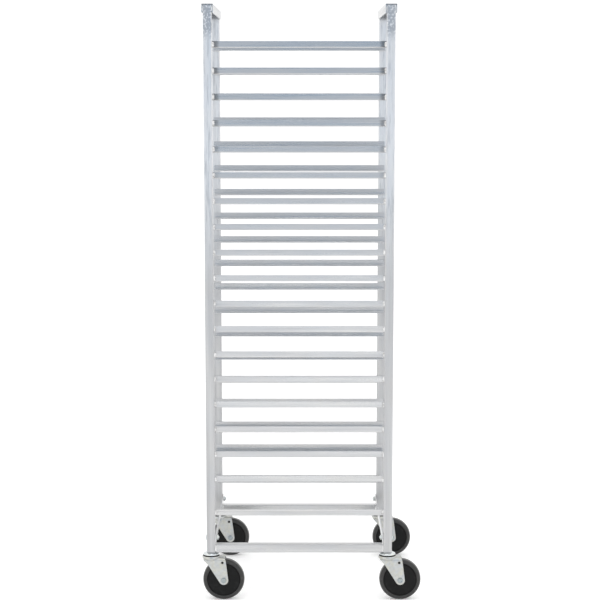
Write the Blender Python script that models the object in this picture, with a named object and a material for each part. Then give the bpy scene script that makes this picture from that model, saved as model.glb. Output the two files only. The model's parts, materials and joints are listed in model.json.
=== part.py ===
"""Side-loading sheet pan rack on four swivel casters, as separate named pieces.

Run it with:  blender --background --python part.py
Units are metres and +Z is up. The pans slide in along X. Y runs from the front ladder (-Y)
to the rear ladder (+Y). The origin is on the floor, under the middle of the whole rack with
all four casters trailing towards +X.
"""

import math

import bmesh
import bpy
from mathutils import Vector

# Whole frame
TOTAL_HEIGHT = 1.778
FRAME_LENGTH = 0.5588  # over the uprights, along X
FRAME_DEPTH = 0.51435  # over the uprights, along Y
GAP = 0.0003  # left between pieces that touch on the real rack

# Square tube of the uprights and the bottom rails
TUBE = 0.0254
TUBE_WALL = 0.0016
TUBE_CORNER = 0.0022
UPRIGHT_BOTTOM = 0.146

# Inverted channels that cap the uprights, front to back
CHANNEL_WIDTH = 0.033
CHANNEL_HEIGHT = 0.0254
CHANNEL_WALL = 0.0028

# Flat braces near the floor, front to back
BRACE_HEIGHT = 0.0254
BRACE_THICKNESS = 0.0032
BRACE_MIDDLE = 0.1905

# Angle slides that carry the pans
SLIDE_LEVELS = 19
SLIDE_TOP = 1.672
SLIDE_PITCH = 0.0762
LAST_SLIDE_EXTRA = 0.0274  # the lowest level hangs this much further down than the pitch
SLIDE_LENGTH = 0.546
SLIDE_HEIGHT = 0.01905
SLIDE_LEDGE = 0.03175
SLIDE_SHEET = 0.0018

# Holes for the bolts that hold the braces to the uprights
BOLT_HOLE_RADIUS = 0.0043

# Casters: heights are above the floor, X is measured from the swivel axis
WHEEL_RADIUS = 0.0625
WHEEL_HALF_WIDTH = 0.016
WHEEL_BORE = 0.0083
HUB_HALF_WIDTH = 0.0175
HUB_RADIUS = 0.0175
DISC_HALF_WIDTH = 0.0136
RIM_RADIUS = 0.049
SHOULDER = 0.006
CASTER_TRAIL = 0.038
LEG_INSIDE = 0.0195
LEG_OUTSIDE = 0.0223
LEG_END_RADIUS = 0.0141
FORK_SHEET = 0.0032
FORK_PLATE_TOP = 0.131
FORK_PLATE_END = 0.0415
FORK_HEAD_RADIUS = 0.0275
BOSS_RADIUS = 0.0265
BOSS_TOP = 0.1361
LEG_TOP = 0.130
LEG_REAR_TOP = (-0.0218, 0.1254)
LEG_REAR_KNEE = (-0.0087, 0.1108)
LEG_FRONT_TOP = (0.0444, 0.1216)
LEG_HOLE = (0.0345, 0.117)
LEG_HOLE_RADIUS = 0.0038
RACEWAY_RADIUS = 0.024
RACEWAY_BOTTOM = 0.1384
RACEWAY_SHOULDER = 0.1418
RACEWAY_TOP = 0.1457
RACEWAY_TOP_RADIUS = 0.0165
RACEWAY_SHEET = 0.0018
STEM_RADIUS = 0.0055
RIVET_RADIUS = 0.009
RIVET_HEIGHT = 0.0035
PLUG_TOP = 0.178
AXLE_RADIUS = 0.005
AXLE_HEAD_RADIUS = 0.0085
AXLE_HEAD_HEIGHT = 0.005
BUSHING_RADIUS = 0.008  # the wheel turns on it

WHEEL_SEGMENTS = 32
RING_SEGMENTS = 24
ROD_SEGMENTS = 12
SHARP_ANGLE = math.radians(35)

UPRIGHT_X = (FRAME_LENGTH - TUBE) / 2
UPRIGHT_Y = (FRAME_DEPTH - TUBE) / 2
OVERHANG = CASTER_TRAIL + WHEEL_RADIUS - FORK_HEAD_RADIUS  # how much more sticks out at +X
SIDES = {"left": -1, "right": 1}
ENDS = {"front": -1, "rear": 1}


def clear_scene():
    for thing in list(bpy.data.objects):
        bpy.data.objects.remove(thing, do_unlink=True)


def make_material(name, colour, roughness, metallic):
    material = bpy.data.materials.new(name)
    material.use_nodes = True
    shader = material.node_tree.nodes["Principled BSDF"]
    shader.inputs["Base Color"].default_value = (*colour, 1.0)
    shader.inputs["Roughness"].default_value = roughness
    shader.inputs["Metallic"].default_value = metallic
    return material


def finish_mesh(bm, name):
    bmesh.ops.recalc_face_normals(bm, faces=bm.faces)
    mesh = bpy.data.meshes.new(name)
    bm.to_mesh(mesh)
    bm.free()
    mesh.shade_smooth()
    mesh.set_sharp_from_angle(angle=SHARP_ANGLE)
    return mesh


def place(name, mesh, material, parent, location=(0, 0, 0)):
    thing = bpy.data.objects.new(name, mesh)
    if material.name not in mesh.materials:
        mesh.materials.append(material)
    bpy.context.collection.objects.link(thing)
    thing.parent = parent
    thing.location = location
    return thing


def make_empty(name, parent, location):
    empty = bpy.data.objects.new(name, None)
    bpy.context.collection.objects.link(empty)
    empty.parent = parent
    empty.location = location
    return empty


# Profiles, as lists of 2D points

def rounded_square(size, corner, per_corner=2):
    points = []
    reach = size / 2 - corner
    for quarter in range(4):
        middle = math.pi / 4 + quarter * math.pi / 2
        cx = math.copysign(reach, math.cos(middle))
        cy = math.copysign(reach, math.sin(middle))
        for i in range(per_corner + 1):
            angle = middle + math.pi / 2 * (i / per_corner - 0.5)
            points.append((cx + corner * math.cos(angle), cy + corner * math.sin(angle)))
    return points


def tangent_angle(point, centre, radius, side):
    """Angle on a circle where the straight edge from an outside point touches it."""
    dx, dz = point[0] - centre[0], point[1] - centre[1]
    return math.atan2(dz, dx) + side * math.acos(radius / math.hypot(dx, dz))


# Closed solids, added to a bmesh

def add_prism(bm, outer, low, high, axis, inner=None):
    """Extrude a profile from low to high along an axis; inner makes it a tube."""
    def point(u, v, w):
        return {"X": Vector((w, u, v)), "Y": Vector((u, w, v)), "Z": Vector((u, v, w))}[axis]

    def ring(profile, w):
        return [bm.verts.new(point(u, v, w)) for u, v in profile]

    def wall(a, b):
        for i in range(len(a)):
            j = (i + 1) % len(a)
            bm.faces.new((a[i], a[j], b[j], b[i]))

    outer_low, outer_high = ring(outer, low), ring(outer, high)
    wall(outer_low, outer_high)
    if inner is None:
        bm.faces.new(outer_low)
        bm.faces.new(outer_high)
    else:
        inner_low, inner_high = ring(inner, low), ring(inner, high)
        wall(inner_low, inner_high)
        wall(outer_low, inner_low)
        wall(outer_high, inner_high)


def add_turned(bm, profile, segments, axis, centre=(0, 0, 0), start=0.0):
    """Turn (radius, distance along the axis) points into a solid.

    A profile that starts and ends at radius 0 makes a solid bar, any other one is closed
    into a ring.
    """
    solid = profile[0][0] == 0
    middle = Vector(centre)

    def point(radius, along, angle):
        u, v = radius * math.cos(angle), radius * math.sin(angle)
        return middle + {"X": Vector((along, u, v)), "Y": Vector((u, along, v)),
                         "Z": Vector((u, v, along))}[axis]

    rings = []
    for radius, along in profile:
        if radius == 0:
            rings.append([bm.verts.new(point(0, along, 0))] * segments)
        else:
            rings.append([bm.verts.new(point(radius, along, start + 2 * math.pi * i / segments))
                          for i in range(segments)])
    pairs = list(zip(rings, rings[1:])) + ([] if solid else [(rings[-1], rings[0])])
    for a, b in pairs:
        for i in range(segments):
            j = (i + 1) % segments
            corners = list(dict.fromkeys((a[i], a[j], b[j], b[i])))
            bm.faces.new(corners)


def add_rod(bm, radius, low, high, axis, segments, centre=(0, 0, 0)):
    add_turned(bm, [(0, low), (radius, low), (radius, high), (0, high)], segments, axis, centre)


def boolean(mesh, tool, operation):
    """Join or cut one closed mesh with another and return the result."""
    base = bpy.data.objects.new("boolean_base", mesh)
    cutter = bpy.data.objects.new("boolean_tool", tool)
    for thing in (base, cutter):
        bpy.context.collection.objects.link(thing)
    modifier = base.modifiers.new("boolean", "BOOLEAN")
    modifier.operation = operation
    modifier.object = cutter
    graph = bpy.context.evaluated_depsgraph_get()
    result = bpy.data.meshes.new_from_object(base.evaluated_get(graph))
    for thing in (base, cutter):
        bpy.data.objects.remove(thing, do_unlink=True)
    result.shade_smooth()
    result.set_sharp_from_angle(angle=SHARP_ANGLE)
    return result


# Frame

def drill_for_bolts(mesh, name, places):
    """Cut bolt holes along X through a piece, at the given (y, z) places."""
    bm = bmesh.new()
    for y, z in places:
        add_rod(bm, BOLT_HOLE_RADIUS, -TUBE, TUBE, "X", ROD_SEGMENTS, (0, y, z))
    return boolean(mesh, finish_mesh(bm, name + "_drill"), "DIFFERENCE")


def tube_profiles():
    outer = rounded_square(TUBE, TUBE_CORNER)
    inner = rounded_square(TUBE - 2 * TUBE_WALL, TUBE_CORNER - TUBE_WALL / 2)
    return outer, inner


def build_uprights(material, rack):
    outer, inner = tube_profiles()
    top = TOTAL_HEIGHT - CHANNEL_WALL - GAP
    bm = bmesh.new()
    add_prism(bm, outer, UPRIGHT_BOTTOM, top, "Z", inner)
    drilled = drill_for_bolts(finish_mesh(bm, "upright"), "upright", [(0, BRACE_MIDDLE)])
    for end, end_sign in ENDS.items():
        for side, side_sign in SIDES.items():
            place(f"upright_{end}_{side}", drilled, material, rack,
                  (side_sign * UPRIGHT_X, end_sign * UPRIGHT_Y, 0))


def build_bottom_rails(material, rack):
    outer, inner = tube_profiles()
    reach = UPRIGHT_X - TUBE / 2 - GAP
    bm = bmesh.new()
    add_prism(bm, outer, -reach, reach, "X", inner)
    mesh = finish_mesh(bm, "bottom_rail")
    for end, end_sign in ENDS.items():
        place(f"bottom_rail_{end}", mesh, material, rack,
              (0, end_sign * UPRIGHT_Y, UPRIGHT_BOTTOM + TUBE / 2))


def build_top_channels(material, rack):
    half, wall = CHANNEL_WIDTH / 2, CHANNEL_WALL
    bottom = TOTAL_HEIGHT - CHANNEL_HEIGHT
    profile = [(-half, bottom), (-half + wall, bottom), (-half + wall, TOTAL_HEIGHT - wall),
               (half - wall, TOTAL_HEIGHT - wall), (half - wall, bottom), (half, bottom),
               (half, TOTAL_HEIGHT), (-half, TOTAL_HEIGHT)]
    bm = bmesh.new()
    add_prism(bm, profile, -FRAME_DEPTH / 2, FRAME_DEPTH / 2, "Y")
    mesh = finish_mesh(bm, "top_channel")
    for side, side_sign in SIDES.items():
        place(f"top_channel_{side}", mesh, material, rack, (side_sign * UPRIGHT_X, 0, 0))


def build_bottom_braces(material, rack):
    half, height = BRACE_THICKNESS / 2, BRACE_HEIGHT / 2
    profile = [(-half, -height), (half, -height), (half, height), (-half, height)]
    bm = bmesh.new()
    add_prism(bm, profile, -FRAME_DEPTH / 2, FRAME_DEPTH / 2, "Y")
    drilled = drill_for_bolts(finish_mesh(bm, "bottom_brace"), "bottom_brace",
                              [(sign * UPRIGHT_Y, 0) for sign in ENDS.values()])
    x = UPRIGHT_X - TUBE / 2 - GAP - half
    for side, side_sign in SIDES.items():
        place(f"bottom_brace_{side}", drilled, material, rack,
              (side_sign * x, 0, BRACE_MIDDLE))


def slide_top(level):
    """Height of the top edge of a level's flanges; level 1 is the highest."""
    extra = LAST_SLIDE_EXTRA if level == SLIDE_LEVELS else 0
    return SLIDE_TOP - SLIDE_PITCH * (level - 1) - extra


def slide_mesh(sign):
    """One angle with its ledge along the bottom edge, pointing into the rack."""
    flange = UPRIGHT_Y - TUBE / 2 - GAP
    sheet, bend = SLIDE_SHEET, SLIDE_SHEET
    section = [(0, 0), (0, -SLIDE_HEIGHT + bend), (bend * 0.3, -SLIDE_HEIGHT + bend * 0.3),
               (bend, -SLIDE_HEIGHT), (SLIDE_LEDGE, -SLIDE_HEIGHT),
               (SLIDE_LEDGE, -SLIDE_HEIGHT + sheet), (sheet, -SLIDE_HEIGHT + sheet), (sheet, 0)]
    profile = [(sign * (flange - inwards), height) for inwards, height in section]
    bm = bmesh.new()
    add_prism(bm, profile, -SLIDE_LENGTH / 2, SLIDE_LENGTH / 2, "X")
    return finish_mesh(bm, "slide")


def build_slides(material, rack):
    for end, end_sign in ENDS.items():
        mesh = slide_mesh(end_sign)
        for level in range(1, SLIDE_LEVELS + 1):
            place(f"slide_{end}_{level:02d}", mesh, material, rack, (0, 0, slide_top(level)))


# Casters. Each mesh is centred on the swivel axis, on the floor; the wheel on its axle.

def stem_mesh():
    """Rivet head under the fork, pin, raceway cap, and the plug that grips the upright."""
    neck = BOSS_TOP - FORK_SHEET - GAP
    head = neck - RIVET_HEIGHT
    plug = TUBE / 2 - TUBE_WALL - GAP
    under = RACEWAY_TOP - RACEWAY_SHEET
    lip = RACEWAY_RADIUS - RACEWAY_SHEET
    bm = bmesh.new()
    add_turned(bm, [(0, head), (RIVET_RADIUS * 0.8, head), (RIVET_RADIUS, neck),
                    (STEM_RADIUS, neck), (STEM_RADIUS, under),
                    (RACEWAY_TOP_RADIUS - RACEWAY_SHEET, under),
                    (lip, RACEWAY_SHOULDER - RACEWAY_SHEET / 2), (lip, RACEWAY_BOTTOM),
                    (RACEWAY_RADIUS, RACEWAY_BOTTOM), (RACEWAY_RADIUS, RACEWAY_SHOULDER),
                    (RACEWAY_TOP_RADIUS, RACEWAY_TOP), (plug, RACEWAY_TOP),
                    (plug, PLUG_TOP - RACEWAY_SHEET), (STEM_RADIUS * 1.5, PLUG_TOP),
                    (0, PLUG_TOP)], RING_SEGMENTS, "Z")
    return finish_mesh(bm, "caster_stem")


def fork_plate_outline():
    """Round head that runs into a straight-sided tongue over the wheel."""
    half = LEG_OUTSIDE + GAP
    corner = math.asin(half / FORK_HEAD_RADIUS)
    steps = 18
    sweep = 2 * math.pi - 2 * corner
    arc = [(FORK_HEAD_RADIUS * math.cos(corner + sweep * i / steps),
            FORK_HEAD_RADIUS * math.sin(corner + sweep * i / steps)) for i in range(steps + 1)]
    return arc + [(FORK_PLATE_END, -half), (FORK_PLATE_END, half)]


def fork_leg_outline():
    """From the head down to the round end about the axle, and back up the other edge."""
    axle = (CASTER_TRAIL, WHEEL_RADIUS)
    start = tangent_angle(LEG_REAR_KNEE, axle, LEG_END_RADIUS, 1)
    stop = tangent_angle(LEG_FRONT_TOP, axle, LEG_END_RADIUS, -1)
    start -= 2 * math.pi if start > stop else 0
    steps = 8
    arc = [(axle[0] + LEG_END_RADIUS * math.cos(start + (stop - start) * i / steps),
            axle[1] + LEG_END_RADIUS * math.sin(start + (stop - start) * i / steps))
           for i in range(steps + 1)]
    rear = (LEG_REAR_TOP[0], LEG_TOP)
    front = (FORK_PLATE_END - GAP, LEG_TOP)
    return [rear, LEG_REAR_TOP, LEG_REAR_KNEE] + arc + [LEG_FRONT_TOP, front]


def fork_mesh():
    """Pressed plate with its raised boss, two legs, and the axle bolt clamped in them."""
    bm = bmesh.new()
    plate_bottom = FORK_PLATE_TOP - FORK_SHEET
    add_prism(bm, fork_plate_outline(), plate_bottom, FORK_PLATE_TOP, "Z")
    plate = finish_mesh(bm, "fork_plate")
    bm = bmesh.new()
    add_rod(bm, BOSS_RADIUS, plate_bottom + FORK_SHEET / 2, BOSS_TOP, "Z", RING_SEGMENTS)
    joined = boolean(plate, finish_mesh(bm, "fork_boss"), "UNION")
    bm = bmesh.new()
    add_rod(bm, BOSS_RADIUS - FORK_SHEET, plate_bottom - FORK_SHEET, BOSS_TOP - FORK_SHEET, "Z",
            RING_SEGMENTS)
    joined = boolean(joined, finish_mesh(bm, "fork_boss_hollow"), "DIFFERENCE")
    bm = bmesh.new()
    for side in ENDS.values():
        add_prism(bm, fork_leg_outline(), side * LEG_INSIDE, side * LEG_OUTSIDE, "Y")
    joined = boolean(joined, finish_mesh(bm, "fork_legs"), "UNION")
    bm = bmesh.new()
    reach = LEG_OUTSIDE + FORK_SHEET
    add_rod(bm, LEG_HOLE_RADIUS, -reach, reach, "Y", ROD_SEGMENTS, (LEG_HOLE[0], 0, LEG_HOLE[1]))
    add_rod(bm, STEM_RADIUS + 2 * GAP, BOSS_TOP - 2 * FORK_SHEET, BOSS_TOP + FORK_SHEET, "Z",
            RING_SEGMENTS)
    drilled = boolean(joined, finish_mesh(bm, "fork_holes"), "DIFFERENCE")
    return boolean(drilled, axle_mesh(), "UNION")


def axle_mesh():
    """Axle bolt through both legs, thicker between them where the wheel's bushing sits."""
    tip = LEG_OUTSIDE + AXLE_HEAD_HEIGHT
    inside = LEG_INSIDE + TUBE_WALL / 2
    half = [(AXLE_RADIUS, inside), (AXLE_RADIUS, LEG_OUTSIDE - TUBE_WALL / 2),
            (AXLE_HEAD_RADIUS, LEG_OUTSIDE - TUBE_WALL / 2),
            (AXLE_HEAD_RADIUS, LEG_OUTSIDE + AXLE_HEAD_HEIGHT / 2),
            (AXLE_HEAD_RADIUS * 0.6, tip), (0, tip)]
    rising = [(BUSHING_RADIUS, inside)] + half
    profile = [(radius, -y) for radius, y in reversed(rising)] + rising
    bm = bmesh.new()
    add_turned(bm, profile, ROD_SEGMENTS, "Y", centre=(CASTER_TRAIL, 0, WHEEL_RADIUS))
    return finish_mesh(bm, "caster_axle")


def wheel_mesh():
    """Moulded wheel: flat-sided tyre band, recessed disc and a hub boss on each side."""
    facet = math.cos(math.pi / WHEEL_SEGMENTS)
    half, disc = WHEEL_HALF_WIDTH, DISC_HALF_WIDTH
    right = [(WHEEL_BORE, HUB_HALF_WIDTH), (HUB_RADIUS, HUB_HALF_WIDTH), (HUB_RADIUS, disc),
             (RIM_RADIUS, disc), (RIM_RADIUS, half), (WHEEL_RADIUS - SHOULDER / 2, half),
             (WHEEL_RADIUS, half - SHOULDER)]
    profile = [(radius / facet, y) for radius, y in right]
    profile += [(radius, -y) for radius, y in reversed(profile)]
    bm = bmesh.new()
    add_turned(bm, profile, WHEEL_SEGMENTS, "Y", start=math.pi / WHEEL_SEGMENTS)
    return finish_mesh(bm, "caster_wheel")


def build_casters(rack, zinc, black):
    """Each caster's stem stays with the frame; its fork and wheel hang on the swivel axis."""
    stem, fork, wheel = stem_mesh(), fork_mesh(), wheel_mesh()
    for end, end_sign in ENDS.items():
        for side, side_sign in SIDES.items():
            name = f"caster_{end}_{side}"
            corner = (side_sign * UPRIGHT_X, end_sign * UPRIGHT_Y, 0)
            swivel = make_empty(f"{name}_swivel_axis", rack, corner)
            place(f"{name}_stem", stem, zinc, rack, corner)
            place(f"{name}_fork", fork, zinc, swivel)
            place(f"{name}_wheel", wheel, black, swivel, (CASTER_TRAIL, 0, WHEEL_RADIUS))


def build_rack():
    clear_scene()
    aluminium = make_material("aluminium", (0.80, 0.81, 0.82), 0.32, 1.0)
    zinc = make_material("zinc_plated_steel", (0.62, 0.64, 0.66), 0.38, 1.0)
    black = make_material("black_polymer", (0.015, 0.015, 0.016), 0.42, 0.0)
    rack = make_empty("rack_centre", None, (-OVERHANG / 2, 0, 0))
    build_uprights(aluminium, rack)
    build_bottom_rails(aluminium, rack)
    build_top_channels(aluminium, rack)
    build_bottom_braces(aluminium, rack)
    build_slides(aluminium, rack)
    build_casters(rack, zinc, black)


build_rack()
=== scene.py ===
"""Looks of the side-loading sheet pan rack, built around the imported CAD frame.

Places and outer sizes come from the frame's nodes and joints. The fine pieces here stand for
the plain CAD solids: tubes with rolled corners, bent slides, pressed forks, raceway caps and
moulded wheels. Bolts, nuts, weld beads, balls, plugs and bushings are added beside them.
Units are metres and +Z is up.
"""

import json
import math
import random
from types import SimpleNamespace

import bmesh
import bpy
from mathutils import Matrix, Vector


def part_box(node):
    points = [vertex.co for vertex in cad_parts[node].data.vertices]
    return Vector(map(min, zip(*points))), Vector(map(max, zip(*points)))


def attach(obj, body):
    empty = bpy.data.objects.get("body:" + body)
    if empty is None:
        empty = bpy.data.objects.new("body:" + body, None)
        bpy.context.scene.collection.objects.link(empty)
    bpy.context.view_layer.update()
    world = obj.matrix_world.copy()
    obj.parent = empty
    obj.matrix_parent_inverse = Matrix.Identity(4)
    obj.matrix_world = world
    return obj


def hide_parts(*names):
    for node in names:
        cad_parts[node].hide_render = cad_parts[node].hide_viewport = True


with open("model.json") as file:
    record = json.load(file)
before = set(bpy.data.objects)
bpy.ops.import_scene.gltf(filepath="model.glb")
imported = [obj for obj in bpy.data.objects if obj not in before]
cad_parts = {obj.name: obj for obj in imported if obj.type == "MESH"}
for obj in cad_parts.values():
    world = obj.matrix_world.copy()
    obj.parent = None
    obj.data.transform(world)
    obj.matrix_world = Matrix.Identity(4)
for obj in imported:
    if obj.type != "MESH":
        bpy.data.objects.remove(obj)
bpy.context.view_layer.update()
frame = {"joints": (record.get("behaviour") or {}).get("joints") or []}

ENDS = ("front", "rear")
SIDES = ("left", "right")
SLIDE_LEVELS = 19

# Frame details
TUBE_WALL = 0.0016
TUBE_CORNER = 0.0024
CHANNEL_WALL = 0.0028
CHANNEL_CORNER = 0.0008
CHANNEL_WEB_END_BAND = 0.0027  # how far down the web's end the darker band reaches
SLIDE_SHEET = 0.0018
BOLT_RADIUS = 0.004
BOLT_HOLE_RADIUS = 0.0043
BOLT_HEAD_RADIUS = 0.0078
BOLT_HEAD_HEIGHT = 0.003
NUT_RADIUS = 0.0078
NUT_HEIGHT = 0.0058
BOLT_STICKS_OUT = 0.0022
HEXAGON_POINTS = 24
NUT_EDGE = 0.0004
CONTACT = 0.0003  # the gap that touching CAD pieces keep
WELD_SIZE = 0.0058
WELD_LENGTH = 0.0172
RAIL_WELD_INSET = 0.0008
CHANNEL_WELD_LENGTH = 0.019
CHANNEL_WELD_SIZE = 0.0022

# Caster details: heights above the floor, X from the swivel axis
LEG_HALF_WIDTH = 0.0223
FORK_SHEET = 0.0028
FORK_TOP = 0.131
FORK_BEND = 0.0085
FORK_END_RADIUS = 0.014
FORK_PLATE_END = 0.0412
FORK_HOLE = (0.0345, 0.117)
FORK_HOLE_RADIUS = 0.004
FORK_REAR, FORK_KNEE, FORK_FRONT = (-0.0232, 0.1262), (-0.0089, 0.1108), (0.0444, 0.1216)
HEAD_RADIUS = 0.0272
BOSS_TOP = 0.1361
BOSS_INSIDE = 0.1326  # the pin's head bears on it from below
CAP_RADIUS = 0.024
CAP_BOTTOM = 0.1384
CAP_TOP = 0.1457
STEM_RADIUS = 0.0055
PLUG_RADIUS = 0.0106
PLUG_NUT_RADIUS = 0.0098
BALL_SEAT = 0.1348
BALL_RADIUS = 0.0032
BALL_TRACK = 0.0172
BALL_COUNT = 16
AXLE_RADIUS = 0.005
AXLE_HEAD_RADIUS = 0.0079
AXLE_NUT_RADIUS = 0.0086
AXLE_NUT_HEIGHT = 0.0041
BUSHING_RADIUS = 0.008
BORE_PLAY = 0.0002  # how much wider a plain bore is than its pin, in radius
THREAD_PLAY = 0.0001  # the same for a nut on its thread
TREAD_SEGMENTS = 96
TREAD_START = 0.8  # share of the wheel radius where the greyer tread begins


def joint_place(name):
    """World position of a joint at rest."""
    joint = next(j for j in frame["joints"] if j["name"] == name)
    return Vector(joint["pos_m"])


# Studio: camera, world, card, floor and lamps

CAMERA_DISTANCE = 5.238
CAMERA_OFFSET = 0.002  # to the right of the rack's middle
CAMERA_HEIGHT = 1.538
CAMERA_PITCH = 0.1368
CAMERA_LENS = 101.8
CAMERA_SHIFT = 0.035
WORLD_STRENGTH = 1.12
CARD_PLACE = (0.0, -12.0, 2.0)
CARD_REACH = 5.4
CARD_COLOUR = (0.365, 0.46, 0.58)
FLOOR_RADIUS = 14
FLOOR_GREY = 0.93
FLOOR_GLOW = 0.2  # keeps the floor as white as the world behind it
OVERHEAD_PLACE = (-1.2, 4.0)  # Y and Z
OVERHEAD_SIZE = (1.8, 0.35)
OVERHEAD_POWER = 9
SIDE_LAMP_PLACE = (2.1, -3.0, 1.85)  # X from the rack's middle, on both sides
SIDE_LAMP_AIM = (-0.2, 1.5)  # Y and Z
SIDE_LAMP_SIZE = (2.4, 2.4)
SIDE_LAMP_POWER = 5


def build_camera(rack_x):
    data = bpy.data.cameras.new("camera")
    data.lens = CAMERA_LENS
    data.shift_y = CAMERA_SHIFT
    data.clip_start, data.clip_end = 0.1, 60
    camera = bpy.data.objects.new("camera", data)
    camera.location = (rack_x + CAMERA_OFFSET, -CAMERA_DISTANCE, CAMERA_HEIGHT)
    camera.rotation_euler = (math.pi / 2 - CAMERA_PITCH, 0, 0)
    bpy.context.scene.collection.objects.link(camera)
    bpy.context.scene.camera = camera


def area_light(name, place, aim, size, power):
    data = bpy.data.lights.new(name, "AREA")
    data.shape = "RECTANGLE"
    data.size, data.size_y = size
    data.energy = power
    lamp = bpy.data.objects.new(name, data)
    lamp.location = place
    lamp.rotation_euler = (Vector(aim) - Vector(place)).to_track_quat("-Z", "Y").to_euler()
    bpy.context.scene.collection.objects.link(lamp)


def build_world():
    world = bpy.data.worlds.new("studio")
    bpy.context.scene.world = world
    world.use_nodes = True
    background = world.node_tree.nodes["Background"]
    background.inputs["Color"].default_value = (1, 1, 1, 1)
    background.inputs["Strength"].default_value = WORLD_STRENGTH


def build_card():
    """A cool grey card far behind the camera: only its soft-edged reflection is seen."""
    bm = bmesh.new()
    side = 2 * CARD_REACH
    add_prism(bm, rounded_outline(rectangle(side, side, 0)), -0.01, 0.0, "Y")
    card = bpy.data.objects.new("grey_card", mesh_from(bm, "grey_card"))
    card.location = CARD_PLACE
    card.visible_camera = False
    card.visible_diffuse = False
    card.visible_shadow = False
    bpy.context.scene.collection.objects.link(card)
    card.data.materials.append(card_material())


def card_material():
    """Glows in the card's colour in the middle and fades to clear towards the edge."""
    material = bpy.data.materials.new("grey_card")
    material.use_nodes = True
    tree = material.node_tree
    output = tree.nodes["Material Output"]
    glow = tree.nodes.new("ShaderNodeEmission")
    glow.inputs["Color"].default_value = (*CARD_COLOUR, 1)
    glow.inputs["Strength"].default_value = WORLD_STRENGTH
    clear = tree.nodes.new("ShaderNodeBsdfTransparent")
    blend = tree.nodes.new("ShaderNodeMixShader")
    shares = [math_node(tree, "DIVIDE", along(tree, axis), CARD_REACH) for axis in "XZ"]
    squares = [math_node(tree, "POWER", share, 2.0) for share in shares]
    tree.links.new(ramp(tree, math_node(tree, "ADD", *squares), FADE_IN, (0.25, 1.0)),
                   blend.inputs["Fac"])
    tree.links.new(glow.outputs[0], blend.inputs[1])
    tree.links.new(clear.outputs[0], blend.inputs[2])
    tree.links.new(blend.outputs[0], output.inputs["Surface"])
    return material


def build_floor():
    bm = bmesh.new()
    bmesh.ops.create_circle(bm, cap_ends=True, radius=FLOOR_RADIUS, segments=64)
    mesh = bpy.data.meshes.new("floor")
    bm.to_mesh(mesh)
    bm.free()
    floor = bpy.data.objects.new("floor", mesh)
    bpy.context.scene.collection.objects.link(floor)
    material, _, shader = new_material("floor", 0.0)
    shader.inputs["Base Color"].default_value = (*grey(FLOOR_GREY), 1)
    shader.inputs["Roughness"].default_value = 0.9
    shader.inputs["Specular IOR Level"].default_value = 0.0
    shader.inputs["Emission Color"].default_value = (1, 1, 1, 1)
    shader.inputs["Emission Strength"].default_value = FLOOR_GLOW
    mesh.materials.append(material)


def build_studio(rack_x):
    build_camera(rack_x)
    build_world()
    build_card()
    build_floor()
    area_light("overhead_strip", (rack_x, *OVERHEAD_PLACE), (rack_x, 0, 0), OVERHEAD_SIZE,
               OVERHEAD_POWER)
    away, y, z = SIDE_LAMP_PLACE
    for name, side in (("left_strip", -1), ("right_strip", 1)):
        area_light(name, (rack_x + side * away, y, z), (rack_x, *SIDE_LAMP_AIM),
                   SIDE_LAMP_SIZE, SIDE_LAMP_POWER)
    bpy.context.scene.view_settings.view_transform = "Standard"


# Materials

# Where the colour changes, from one height above the floor to another: painted shade, painted
# reflection and darker streaks
WELD_SHADE_HEIGHTS = (1.20, 1.50)
STREAK_HEIGHTS = (0.95, 1.15)
MOTTLE_HEIGHTS = (1.670, 1.705)
UPRIGHT_SHADE_HEIGHTS = (0.95, 1.35)
SLIDE_SHADE_HEIGHTS = (0.15, 0.75)
# Painted shade beside the slide welds, by distance along X
WELD_SHADE_STARTS, WELD_SHADE_ENDS = 0.0175, 0.0075  # short of the uprights' inner faces, along X
SLIDE_FACES = (0.2300, 0.2310)  # just inside the slides' outer faces, on either side of Y = 0
FRONT_HALF = (-0.05, 0.05)

FADE_IN = [(0, (0, 0, 0)), (1, (1, 1, 1))]
STRETCH = {"X": (0.02, 1.0, 1.0), "Y": (1.0, 0.02, 1.0), "Z": (1.0, 1.0, 0.02)}


def grey(level):
    return (level,) * 3


def ramp(tree, value, stops, span=(0.0, 1.0)):
    """Colour ramp over a value that runs across span."""
    spread = tree.nodes.new("ShaderNodeMapRange")
    spread.inputs["From Min"].default_value, spread.inputs["From Max"].default_value = span
    tree.links.new(value, spread.inputs["Value"])
    node = tree.nodes.new("ShaderNodeValToRGB")
    while len(node.color_ramp.elements) < len(stops):
        node.color_ramp.elements.new(0.5)
    for element, (place, colour) in zip(node.color_ramp.elements, stops):
        element.position = place
        element.color = (*colour, 1.0)
    tree.links.new(spread.outputs["Result"], node.inputs["Fac"])
    return node.outputs["Color"]


def noise(tree, scale, stretch=(1, 1, 1), detail=4.0, roughness=0.55):
    """Noise in metres, in the row frame, stretched by a scale for each axis."""
    coords = tree.nodes.new("ShaderNodeTexCoord")
    mapping = tree.nodes.new("ShaderNodeMapping")
    mapping.inputs["Scale"].default_value = stretch
    tree.links.new(coords.outputs["Object"], mapping.inputs["Vector"])
    node = tree.nodes.new("ShaderNodeTexNoise")
    node.inputs["Scale"].default_value = scale
    node.inputs["Detail"].default_value = detail
    node.inputs["Roughness"].default_value = roughness
    tree.links.new(mapping.outputs["Vector"], node.inputs["Vector"])
    return node.outputs["Fac"]


def math_node(tree, operation, a, b=0.0):
    """One math step; each value is an output or a number."""
    node = tree.nodes.new("ShaderNodeMath")
    node.operation = operation
    for socket, value in zip(node.inputs, (a, b)):
        if isinstance(value, (int, float)):
            socket.default_value = value
        else:
            tree.links.new(value, socket)
    return node.outputs["Value"]


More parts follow.
